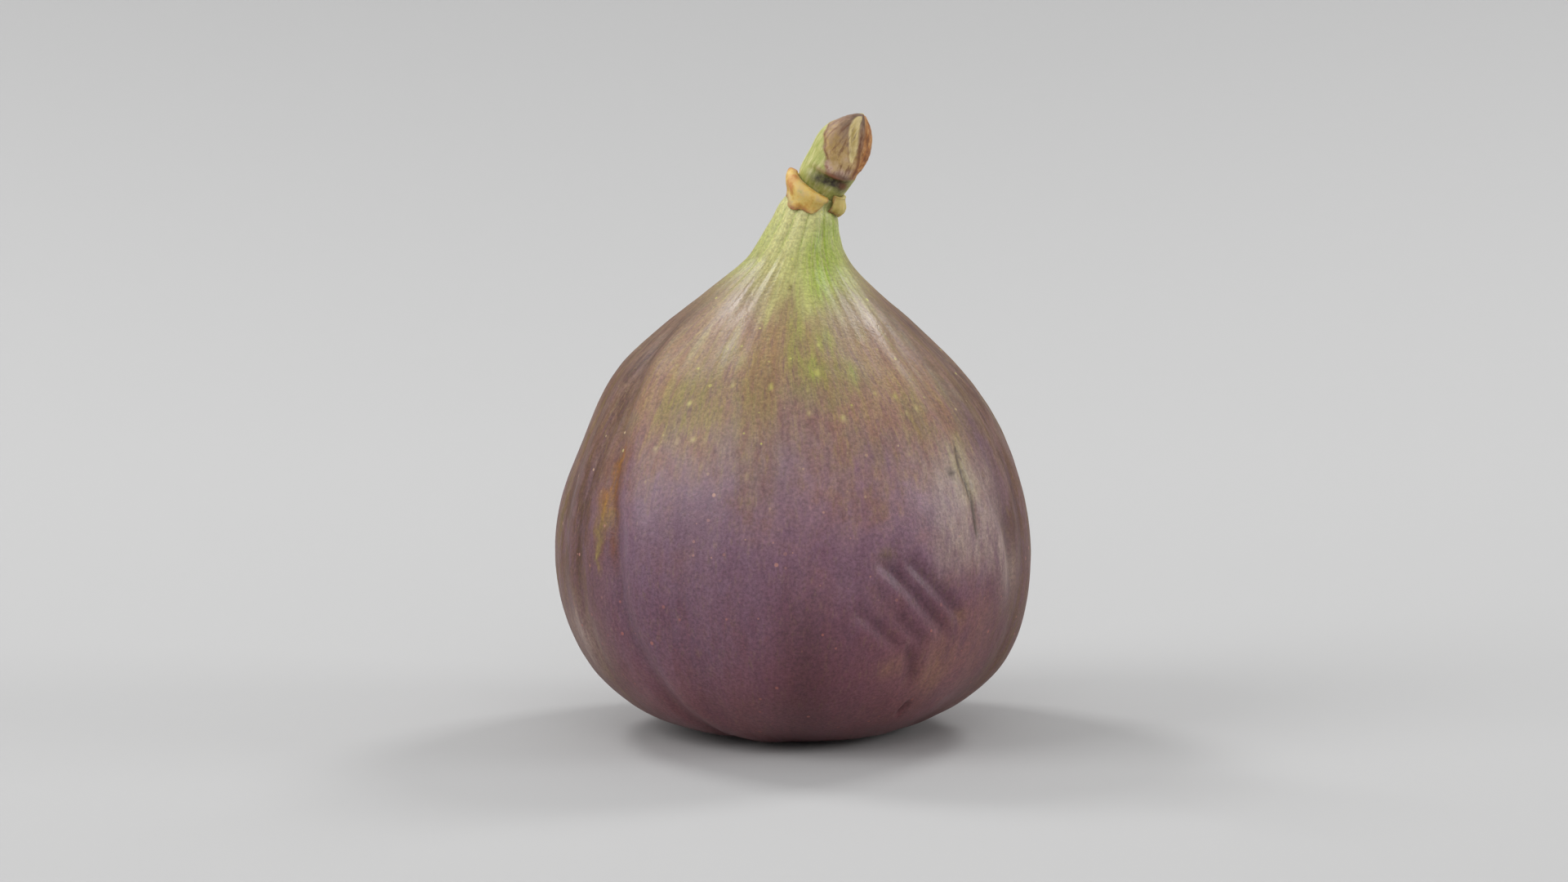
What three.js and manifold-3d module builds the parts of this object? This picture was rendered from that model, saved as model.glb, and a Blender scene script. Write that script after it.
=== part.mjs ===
// A fresh purple fig as picked: the ribbed, teardrop-shaped fruit standing on its flat base, the short
// cut stalk leaning to one side, three bracts round the joint of the two, and the scales that close the
// eye under the base. Lengths are in millimetres, angles in degrees. +Z is up and -Y is the front.
// An azimuth of 0 is the front and 90 the right-hand side.
import * as THREE from "three";
import { mergeVertices } from "three/addons/utils/BufferGeometryUtils.js";
import Module from "manifold-3d";

const wasm = await Module();
wasm.setup();

const { degToRad, smoothstep, lerp } = THREE.MathUtils;

// Driving sizes
const fruitRadius = 26; // at the widest, 19 mm above the base
const gap = 0.3; // between pieces that touch
const fruitColumns = 112;
const frontPull = 0.34; // share by which the columns crowd to the front

// The fruit's outline as [radius, height]: the floor of the eye, the flat base, the belly, the
// shoulder and the neck. What lies below zero is pressed flat on the surface that the fig stands on.
const fruitOutline = [
  [0, 1.75],
  [2.3, 1.5],
  [3.2, -0.12],
  [6.2, -0.12],
  [9.2, 0.2],
  [13.4, 1.05],
  [18.2, 3.4],
  [22.4, 7.5],
  [25.05, 13],
  [fruitRadius, 19.4],
  [25.15, 26.4],
  [22.6, 33.4],
  [18.8, 39.4],
  [13.8, 44.3],
  [9.2, 48.1],
  [5.6, 51.5],
  [3.95, 54.8],
  [3.3, 57],
  [2.55, 58.7],
  [2.42, 59.6],
];
// Rows of the mesh between one point of the outline and the next
const rowsPerSpan = [1, 2, 2, 1, 2, 3, 4, 5, 5, 5, 3, 3, 3, 3, 2, 2, 2, 2, 1];
const neckTop = fruitOutline.at(-1)[1];

// The neck and the stalk lean together: from bend.start up they follow an arc, then a straight line.
const bend = { start: 52, radius: 16.5, turn: degToRad(34), toward: degToRad(20) };

// Long valleys that run from the neck to the eye. A path is a list of places [azimuth, height]. The skin
// swells by lift on one side of the valley: to the right of it if side is 1, to the left if side is -1.
const valleys = [
  {
    path: [[-31, 0], [-38, 5], [-44.5, 15.5], [-47, 24], [-52.5, 31.5], [-58, 38.8], [-67, 44], [-78, 50]],
    width: 1.3,
    depth: 0.5,
    side: 1,
    lift: 0.3,
  },
  {
    path: [[-60, 9], [-62.5, 26], [-60.5, 32], [-62, 38], [-76, 46]],
    width: 1.2,
    depth: 0.26,
    side: -1,
    lift: 0.1,
  },
  { path: [[-70, 12], [-73, 26], [-75, 38], [-86, 48]], width: 1.5, depth: 0.22, side: 1, lift: 0.1 },
  { path: [[-24, 3], [-27, 12], [-26, 30]], width: 2.8, depth: 0.2, side: 1, lift: 0 },
  { path: [[3, 7], [3, 14], [2, 26]], width: 2.6, depth: 0.24, side: 1, lift: 0 },
  {
    path: [[64, 17], [62, 23], [54, 31.5], [50, 36], [50.5, 42.4], [54, 46], [61, 50]],
    width: 1.2,
    depth: 0.4,
    side: -1,
    lift: 0.25,
  },
  {
    path: [[64, 22], [61.5, 28.5], [57, 36], [60, 44], [70, 50]],
    width: 1.1,
    depth: 0.3,
    side: 1,
    lift: 0.12,
  },
  { path: [[69, 8], [71, 20], [72, 36], [79, 48]], width: 1.5, depth: 0.24, side: 1, lift: 0.1 },
  { path: [[92, 5], [89, 24], [86, 48]], width: 2.2, depth: 0.24, side: 1, lift: 0 },
  { path: [[104, 1], [110, 14], [113, 26], [120, 50]], width: 1.5, depth: 0.4, side: -1, lift: 0.22 },
  { path: [[140, 8], [137, 22], [133, 46]], width: 2.6, depth: 0.26, side: 1, lift: 0 },
  { path: [[152, 1], [163, 16], [165, 30], [170, 50]], width: 1.4, depth: 0.44, side: 1, lift: 0.22 },
  { path: [[-165, 6], [-171, 21], [-175, 47]], width: 2.4, depth: 0.26, side: 1, lift: 0 },
  { path: [[-139, 1], [-147, 14], [-148, 28], [-142, 50]], width: 1.4, depth: 0.4, side: -1, lift: 0.2 },
  { path: [[-115, 6], [-119, 20], [-123, 46]], width: 2.4, depth: 0.26, side: 1, lift: 0 },
  { path: [[-94, 5], [-95, 24], [-99, 49]], width: 1.8, depth: 0.26, side: 1, lift: 0.1 },
];

// Short creases pressed slantwise into the lower right of the front, a fold under them and a pinched pit.
// Above and to the right of a crease is side 1, below and to the left is side -1.
const creases = [
  {
    path: [[26, 22.6], [28, 21.6], [32, 19.8], [36.5, 18], [42.5, 15.5], [46, 14]],
    width: 0.8,
    depth: 0.48,
    side: -1,
    lift: 0.07,
  },
  {
    path: [[18, 22.6], [20.5, 21.7], [25.5, 19.7], [30.5, 17.5], [35, 15.5], [39.5, 13.7], [42, 12.6]],
    width: 0.82,
    depth: 0.54,
    side: -1,
    lift: 0.1,
  },
  {
    path: [[12, 17.8], [16, 16.2], [20, 14.7], [24.5, 13.1], [28, 11.6]],
    width: 0.7,
    depth: 0.36,
    side: -1,
    lift: 0.16,
  },
  { path: [[17, 20], [22, 17.6], [28, 14.6]], width: 1.2, depth: 0.2, side: -1, lift: 0 },
  {
    path: [[24, 16.2], [26.5, 15.1], [32, 12.9], [34, 12]],
    width: 0.75,
    depth: 0.34,
    side: -1,
    lift: 0.05,
  },
  { path: [[28.5, 13], [29.6, 11.4], [31.5, 9.6], [33, 7]], width: 0.9, depth: 0.42, side: 1, lift: 0.16 },
  { path: [[34.2, 4.1], [35.4, 4.9], [36.4, 5.8]], width: 0.5, depth: 0.45, side: 1, lift: 0.1 },
];

// Flatter patches beside the pit and on the left, and a swell low on the right
const dents = [
  { at: [60, 3.2], width: 3.2, depth: 0.35 },
  { at: [-86, 31.5], width: 4.5, depth: 0.45 },
  { at: [86, 8.5], width: 6, depth: -0.5 },
];

const neckRibs = { count: 9, height: 0.3, from: 42, full: 52, fade: 56, end: 59 };

// Pieces at the joint of the fruit and the stalk
const stalkOutline = [
  [2.4, 0],
  [2.5, 0.5],
  [2.75, 1.1],
  [2.86, 1.9],
  [2.97, 3.6],
  [3.1, 4.9],
  [3.0, 6.0],
  [2.62, 7.2],
  [2.02, 8.3],
  [1.3, 9.1],
  [0.6, 9.6],
  [0, 9.75],
];
const stalkBase = neckTop + gap;
const stalkColumns = 40;
const stalkRows = 28;
const stalkCut = { azimuth: 20, tilt: 24, depth: 2.35, height: 4.6, softness: 0.35 };
const stalkLip = { azimuth: 4, spread: 34, height: 2.8, width: 0.4, depth: 0.55 };
const pith = { path: [[36, 5], [24, 7], [4, 8.4], [-8, 9.2]], low: 4.8, high: 9.4, width: 0.4, depth: 0.4 };

// Bracts: top is the height of the top edge above the joint, and rise what its left end has more
const bractThickness = 0.6;
const bracts = {
  bract_front: { azimuth: -34, spread: 60, top: 0.1, rise: 0.7, length: 3, bulge: 0.35, teeth: 2.6 },
  bract_right: { azimuth: 76, spread: 36, top: 0.7, rise: 0, length: 2.8, bulge: 0.4, teeth: 1.4 },
  bract_back: { azimuth: 192, spread: 66, top: 0.4, rise: 0, length: 3, bulge: 0.2, teeth: 2.1 },
};

const eyeScales = { count: 9, ring: 1.0, length: 0.95, width: 0.56, thickness: 0.28, discRadius: 1.7 };

// Height or length measures how far along the fig's own axis a point is, before the neck is bent.
const radial = (azimuth) => new THREE.Vector3(Math.sin(azimuth), -Math.cos(azimuth), 0);
const bell = (distance, width) => Math.exp(-((distance / width) ** 2));
const shareOf = (x, low, high) => THREE.MathUtils.clamp((x - low) / (high - low), 0, 1);
const wrapped = (angle) => Math.atan2(Math.sin(angle), Math.cos(angle));

// 1 from low to high, fading to 0 inside each end
function between(x, low, high, fade) {
  return smoothstep(x, low, low + fade) * (1 - smoothstep(x, high - fade, high));
}

// Carries a point of the straight fig to its place on the leaning neck or stalk.
function lean(point) {
  if (point.z <= bend.start) {
    return point;
  }
  const toward = new THREE.Vector3(Math.cos(bend.toward), -Math.sin(bend.toward), 0);
  const across = new THREE.Vector3(Math.sin(bend.toward), Math.cos(bend.toward), 0);
  const out = point.dot(toward);
  const side = point.dot(across);
  const angle = Math.min((point.z - bend.start) / bend.radius, bend.turn);
  const past = Math.max(point.z - bend.start - bend.radius * bend.turn, 0);
  const reach = bend.radius - (bend.radius - out) * Math.cos(angle) + past * Math.sin(angle);
  const height = bend.start + (bend.radius - out) * Math.sin(angle) + past * Math.cos(angle);
  return point.copy(toward).multiplyScalar(reach).addScaledVector(across, side).setZ(height);
}

// The fig's axis isn't quite straight: it swings left under the shoulder and right in the neck and the base.
function axisOffset(height) {
  return -0.6 * bell(height - 42, 6) + smoothstep(height, 48, 56) + 0.9 * (1 - smoothstep(height, 0, 2.4));
}

// The azimuth of a path at a height, in radians
function pathAzimuth(path, height) {
  let step = 1;
  while (step < path.length - 1 && height > path[step][1]) {
    step += 1;
  }
  const [[fromAzimuth, fromHeight], [toAzimuth, toHeight]] = [path[step - 1], path[step]];
  return degToRad(lerp(fromAzimuth, toAzimuth, shareOf(height, fromHeight, toHeight)));
}

// A place beside a crease on the unrolled belly: its distance from the crease, plus above and minus below,
// and the share of the crease's length that it is beside.
function creasePlace(azimuth, height, path) {
  const place = new THREE.Vector2(azimuth * fruitRadius, height);
  const corners = path.map(([at, up]) => new THREE.Vector2(degToRad(at) * fruitRadius, up));
  let distance = Infinity;
  let off = 0;
  let share = 0;
  for (let i = 1; i < corners.length; i++) {
    const run = corners[i].clone().sub(corners[i - 1]);
    const gone = place.clone().sub(corners[i - 1]);
    const reach = THREE.MathUtils.clamp(gone.dot(run) / run.lengthSq(), 0, 1);
    const nearest = corners[i - 1].clone().addScaledVector(run, reach);
    if (place.distanceTo(nearest) < distance) {
      distance = place.distanceTo(nearest);
      off = distance * Math.sign(run.cross(gone));
      share = (i - 1 + reach) / (corners.length - 1);
    }
  }
  return { off, share };
}

// How far the skin stands out of the plain turned form, along its normal
function skinRelief(azimuth, radius, height) {
  const lobes = 0.28 * Math.cos(3 * azimuth) + 0.22 * Math.cos(5 * azimuth) + 0.1 * Math.cos(7 * azimuth);
  let relief = lobes * between(height, 0.5, 50, 9);
  for (const { path, width, depth, side, lift } of valleys) {
    const off = radius * wrapped(azimuth - pathAzimuth(path, height));
    const form = lift * bell(off - side * 2.2 * width, 1.6 * width) - depth * bell(off, width);
    const along = between(height, path[0][1] - 4, path.at(-1)[1], 7);
    const wander = 0.8 + 0.2 * Math.sin(0.33 * height + path[0][0]);
    relief += form * wander * along * smoothstep(radius, 4, 10);
  }
  for (const { path, width, depth, side, lift } of creases) {
    const { off, share } = creasePlace(azimuth, height, path);
    const form = lift * bell(off - side * 1.9 * width, 1.2 * width) - depth * bell(off, width);
    relief += form * between(share, 0, 1, 0.3);
  }
  for (const { at, width, depth } of dents) {
    const off = Math.hypot(radius * wrapped(azimuth - degToRad(at[0])), height - at[1]);
    relief -= depth * bell(off, width);
  }
  const swing = 0.16 * Math.sin(azimuth + 1.1) + 0.1 * Math.sin(2 * azimuth + 0.4);
  const rib = Math.abs(Math.cos((neckRibs.count / 2) * azimuth + neckRibs.count * swing));
  const upper = 1 - smoothstep(height, neckRibs.fade, neckRibs.end);
  const inNeck = smoothstep(height, neckRibs.from, neckRibs.full) * upper;
  return relief + neckRibs.height * (rib - 0.6) * inNeck;
}

// A lathe turns round +Y. Its points are turned to +Z and moved by shape(point, normal, azimuth, radius).
function turned(outline, columns, shape) {
  const geometry = new THREE.LatheGeometry(outline, columns).rotateX(Math.PI / 2);
  const position = geometry.getAttribute("position");
  const normal = geometry.getAttribute("normal");
  for (let i = 0; i < position.count; i++) {
    const point = new THREE.Vector3().fromBufferAttribute(position, i);
    const out = new THREE.Vector3().fromBufferAttribute(normal, i);
    const radius = Math.hypot(point.x, point.y);
    const azimuth = Math.atan2(point.x, -point.y);
    if (radius < 1e-6) {
      out.set(0, 0, 0);
    }
    shape(point, out, azimuth, radius);
    position.setXYZ(i, point.x, point.y, point.z);
  }
  return bare(geometry);
}

// Only positions are left, and vertices in one place are one vertex.
function bare(geometry) {
  geometry.deleteAttribute("normal");
  geometry.deleteAttribute("uv");
  return mergeVertices(geometry, 1e-4);
}

function named(name, geometry, material) {
  const mesh = new THREE.Mesh(geometry, material);
  geometry.computeVertexNormals();
  mesh.name = name;
  return mesh;
}

function curveThrough(outline) {
  return new THREE.SplineCurve(outline.map(([radius, height]) => new THREE.Vector2(radius, height)));
}

function makeFruit() {
  const outline = curveThrough(fruitOutline);
  const points = [outline.getPoint(0).setX(0)];
  rowsPerSpan.forEach((rows, span) => {
    for (let row = 1; row <= rows; row++) {
      points.push(outline.getPoint((span + row / rows) / rowsPerSpan.length));
    }
  });
  points.push(new THREE.Vector2(0, neckTop));
  return turned(points, fruitColumns, (point, out, turn, radius) => {
    const height = point.z;
    const azimuth = turn - frontPull * Math.sin(turn);
    const open = height < neckTop - 1e-3 ? 1 : 0;
    const slope = out.x * Math.sin(turn) - out.y * Math.cos(turn);
    const relief = open * skinRelief(azimuth, radius, height);
    point.copy(radial(azimuth)).multiplyScalar(radius + slope * relief).setZ(height + out.z * relief);
    point.x += axisOffset(height);
    lean(point);
    point.z = Math.max(point.z, 0);
  });
}

// The stalk is cut slantwise at the front right, with a dry lip under the cut and the pith sunk into it.
function makeStalk() {
  const points = [new THREE.Vector2(0, 0), ...curveThrough(stalkOutline).getSpacedPoints(stalkRows)];
  points.at(-1).x = 0;
  const tilt = degToRad(stalkCut.tilt);
  const cutNormal = radial(degToRad(stalkCut.azimuth)).multiplyScalar(Math.cos(tilt)).setZ(Math.sin(tilt));
  return turned(points, stalkColumns, (point, out, azimuth) => {
    const along = point.z;
    const above = point.dot(cutNormal) - stalkCut.depth - stalkCut.height * cutNormal.z;
    const pressed = stalkCut.softness * Math.log1p(Math.exp(above / stalkCut.softness));
    point.addScaledVector(cutNormal, -pressed * smoothstep(along, 1.2, 2.6));
    const offLip = wrapped(azimuth - degToRad(stalkLip.azimuth)) / degToRad(stalkLip.spread);
    const offEdge = along - stalkLip.height - 0.2 * offLip;
    const lip = stalkLip.depth * bell(offEdge, stalkLip.width) * bell(offLip, 1);
    const offPith = 3 * wrapped(azimuth - pathAzimuth(pith.path, along));
    const groove = pith.depth * bell(offPith, pith.width) * between(along, pith.low, pith.high, 1.2);
    point.addScaledVector(out, lip - groove);
    point.z = Math.max(point.z, 0) + stalkBase;
    point.x += axisOffset(point.z);
    lean(point);
  });
}

// A bract clasps the joint: attached at its top edge, it swells out over the joint and its free edge hangs
// close over the neck.
function makeBract({ azimuth, spread, top, rise, length, bulge, teeth }) {
  const geometry = new THREE.BoxGeometry(2, 1, 1, 16, 7, 1);
  const position = geometry.getAttribute("position");
  for (let i = 0; i < position.count; i++) {
    const across = position.getX(i);
    const down = 0.5 - position.getY(i);
    const outside = position.getZ(i) + 0.5;
    const margin = (1 - 0.6 * Math.abs(across) ** 3) * (1 + 0.07 * Math.cos(teeth * Math.PI * across + 0.6));
    const along = stalkBase + top + (rise * (1 - across)) / 2 - down * length * margin;
    const carried = 2.45 + 0.32 * smoothstep(along, 60.2, 61.2) + 0.9 * (1 - smoothstep(along, 56.6, 58.9));
    const swell = bulge * Math.sin(Math.PI * down ** 0.7);
    const radius = carried + gap + swell + outside * bractThickness;
    const point = radial(degToRad(azimuth + spread * across)).multiplyScalar(radius).setZ(along);
    point.x += axisOffset(along);
    lean(point);
    position.setXYZ(i, point.x, point.y, point.z);
  }
  return bare(geometry);
}

function solidFrom(geometry) {
  const mesh = new wasm.Mesh({
    numProp: 3,
    vertProperties: new Float32Array(geometry.getAttribute("position").array),
    triVerts: new Uint32Array(geometry.index.array),
  });
  return new wasm.Manifold(mesh);
}

function geometryFrom(solid) {
  const { vertProperties, triVerts } = solid.getMesh();
  return new THREE.BufferGeometry()
    .setAttribute("position", new THREE.BufferAttribute(new Float32Array(vertProperties), 3))
    .setIndex(new THREE.BufferAttribute(new Uint32Array(triVerts), 1));
}

// Overlapping scales point to the middle of the eye, every other one lower, on the disc that they grow from.
function makeEyeScales() {
  const { count, ring, length, width, thickness, discRadius } = eyeScales;
  const disc = new THREE.CylinderGeometry(discRadius * 0.85, discRadius, 0.45, 24).rotateX(Math.PI / 2);
  let rosette = solidFrom(bare(disc.translate(0, 0, 0.95)));
  for (let i = 0; i < count; i++) {
    const scale = new THREE.SphereGeometry(1, 8, 6).scale(width, length, thickness);
    scale.rotateX(degToRad(-14));
    scale.translate(0, -ring, 0.68 + 0.12 * (i % 2));
    scale.rotateZ(degToRad((360 / count) * i));
    rosette = rosette.add(solidFrom(bare(scale)));
  }
  return geometryFrom(rosette);
}

const skin = new THREE.MeshStandardMaterial({ color: 0x6d4f57, roughness: 0.45, metalness: 0 });
const stalkRind = new THREE.MeshStandardMaterial({ color: 0x9aa05a, roughness: 0.6, metalness: 0 });
const bractTissue = new THREE.MeshStandardMaterial({ color: 0xc2ad68, roughness: 0.65, metalness: 0 });
const scaleTissue = new THREE.MeshStandardMaterial({ color: 0x8a4b3c, roughness: 0.6, metalness: 0 });

const fig = new THREE.Group();
fig.add(named("fruit", makeFruit(), skin));
fig.add(named("stalk", makeStalk(), stalkRind));
for (const [name, sizes] of Object.entries(bracts)) {
  fig.add(named(name, makeBract(sizes), bractTissue));
}
fig.add(named("eye_scales", makeEyeScales(), scaleTissue));

// The origin is on the resting plane, under the middle of the fig.
const bounds = new THREE.Box3().setFromObject(fig, true);
const middle = bounds.getCenter(new THREE.Vector3());
fig.position.set(-middle.x, -middle.y, -bounds.min.z);

export default fig;
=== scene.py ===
import math

import bmesh
import bpy
import numpy as np
from mathutils import Matrix, Vector, noise


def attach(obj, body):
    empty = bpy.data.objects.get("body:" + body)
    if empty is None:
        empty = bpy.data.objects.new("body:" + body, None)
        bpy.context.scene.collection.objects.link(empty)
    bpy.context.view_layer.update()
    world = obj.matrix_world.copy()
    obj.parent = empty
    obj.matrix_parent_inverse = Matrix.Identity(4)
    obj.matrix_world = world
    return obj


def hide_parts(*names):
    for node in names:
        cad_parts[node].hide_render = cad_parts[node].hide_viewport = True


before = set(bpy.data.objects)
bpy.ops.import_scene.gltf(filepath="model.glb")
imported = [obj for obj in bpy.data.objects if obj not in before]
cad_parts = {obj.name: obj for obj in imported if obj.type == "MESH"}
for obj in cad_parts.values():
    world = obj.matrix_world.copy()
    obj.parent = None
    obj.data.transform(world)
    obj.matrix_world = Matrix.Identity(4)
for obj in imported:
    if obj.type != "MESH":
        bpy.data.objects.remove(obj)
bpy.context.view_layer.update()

# A fresh purple fig. Shapes are worked out in millimetres and azimuths in degrees, 0 at the front (-Y) and 90
# at the right (+X). "height" and "along" run up the fig's own axis, before the neck leans over.
mm = 0.001
bellyRadius = 26  # the skin's marks are laid out on the unrolled belly
originShift = (0.069, 0.486)  # from the fig's own axis to the middle of its box, as in the CAD part


def hexColor(text):
    channels = [int(text[i:i + 2], 16) / 255 for i in (0, 2, 4)]
    return [c / 12.92 if c <= 0.04045 else ((c + 0.055) / 1.055) ** 2.4 for c in channels] + [1.0]


def bell(distance, width):
    return np.exp(-(distance / width) ** 2)


def smooth(x, low, high):
    share = np.clip((x - low) / (high - low), 0, 1)
    return share * share * (3 - 2 * share)


def between(x, low, high, fade):
    return smooth(x, low, low + fade) * (1 - smooth(x, high - fade, high))


def wrapped(angle):
    return np.arctan2(np.sin(angle), np.cos(angle))


def splinePoints(points, spacing):
    # Catmull-Rom through the points, then cut in steps of equal length
    knots = np.array([points[0], *points, points[-1]], float)
    curve = []
    for p0, p1, p2, p3 in zip(knots, knots[1:], knots[2:], knots[3:]):
        t = np.linspace(0, 1, 60, endpoint=False)[:, None]
        v0, v1 = (p2 - p0) / 2, (p3 - p1) / 2
        curve.append((2 * p1 - 2 * p2 + v0 + v1) * t ** 3 + (3 * p2 - 3 * p1 - 2 * v0 - v1) * t ** 2 + v0 * t + p1)
    curve = np.vstack(curve + [knots[-1:]])
    length = np.concatenate([[0], np.cumsum(np.hypot(*np.diff(curve, axis=0).T))])
    steps = np.linspace(0, length[-1], round(length[-1] / spacing) + 1)
    return np.stack([np.interp(steps, length, curve[:, k]) for k in (0, 1)], axis=1)


def pathAzimuth(path, height):
    azimuths, heights = zip(*path)
    return np.radians(np.interp(height, heights, azimuths))


def noiseAt(points, size, seed=0.0):
    # Perlin noise in -1 to 1; size is the distance between its swells, in the points' own unit
    scaled = points / size + seed
    return np.array([noise.noise(Vector(p)) for p in scaled])


bendSizes = {"start": 52, "radius": 16.5, "turn": math.radians(34), "toward": math.radians(20)}


def lean(x, y, along):
    # From the neck up, the fig follows an arc and then a straight line, to the right and a little forwards.
    start, radius, turn = bendSizes["start"], bendSizes["radius"], bendSizes["turn"]
    cosToward, sinToward = math.cos(bendSizes["toward"]), -math.sin(bendSizes["toward"])
    out, side = x * cosToward + y * sinToward, -x * sinToward + y * cosToward
    angle = np.clip((along - start) / radius, 0, turn)
    past = np.maximum(along - start - radius * turn, 0)
    reach = np.where(along > start, radius - (radius - out) * np.cos(angle) + past * math.sin(turn), out)
    height = np.where(along > start, start + (radius - out) * np.sin(angle) + past * math.cos(turn), along)
    x, y = reach * cosToward - side * sinToward, reach * sinToward + side * cosToward
    return x + originShift[0], y + originShift[1], height


def axisOffset(height):
    # The axis swings left under the shoulder, and right in the neck and at the base.
    return -0.6 * bell(height - 42, 6) + smooth(height, 48, 56) + 0.9 * (1 - smooth(height, 0, 2.4))


def spun(outline, columns):
    # A closed body of revolution about +Z from an outline that starts and ends on the axis
    bm = bmesh.new()
    row = [bm.verts.new((radius, 0, height)) for radius, height in outline]
    edges = [bm.edges.new(pair) for pair in zip(row, row[1:])]
    bmesh.ops.spin(bm, geom=row + edges, axis=(0, 0, 1), angle=2 * math.pi, steps=columns, use_merge=True)
    bmesh.ops.remove_doubles(bm, verts=bm.verts, dist=1e-4)
    bmesh.ops.recalc_face_normals(bm, faces=bm.faces)
    return bm


def meshFrom(bm, name, material):
    mesh = bpy.data.meshes.new(name)
    bm.normal_update()
    bm.to_mesh(mesh)
    bm.free()
    mesh.materials.append(material)
    mesh.shade_smooth()
    piece = bpy.data.objects.new(name, mesh)
    bpy.context.collection.objects.link(piece)
    return piece


def readVerts(mesh):
    spots, normals = np.empty(len(mesh.vertices) * 3), np.empty(len(mesh.vertices) * 3)
    mesh.vertices.foreach_get("co", spots)
    mesh.vertices.foreach_get("normal", normals)
    return spots.reshape(-1, 3), normals.reshape(-1, 3)


def writeVerts(mesh, spots):
    mesh.vertices.foreach_set("co", np.ascontiguousarray(spots, dtype=float).ravel())
    mesh.update()


def paint(mesh, name, *channels):
    # A vector on each vertex, for a material to read
    layer = mesh.attributes.new(name, "FLOAT_VECTOR", "POINT")
    values = np.stack(np.broadcast_arrays(*channels), axis=1)
    layer.data.foreach_set("vector", np.ascontiguousarray(values, dtype=np.float32).ravel())


def addNode(tree, kind, links=None, stops=None, **settings):
    # Adds a node; links maps an input to a socket or to a fixed value, and stops are a colour ramp's.
    node = tree.nodes.new("ShaderNode" + kind)
    for name, value in settings.items():
        setattr(node, name, value)
    for place, value in (links or {}).items():
        if isinstance(value, bpy.types.NodeSocket):
            tree.links.new(value, node.inputs[place])
        else:
            node.inputs[place].default_value = value
    for i, (spot, color) in enumerate(stops or []):
        stop = node.color_ramp.elements[i] if i < 2 else node.color_ramp.elements.new(spot)
        stop.position = spot
        stop.color = hexColor(color) if isinstance(color, str) else (color, color, color, 1)
    return node


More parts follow.
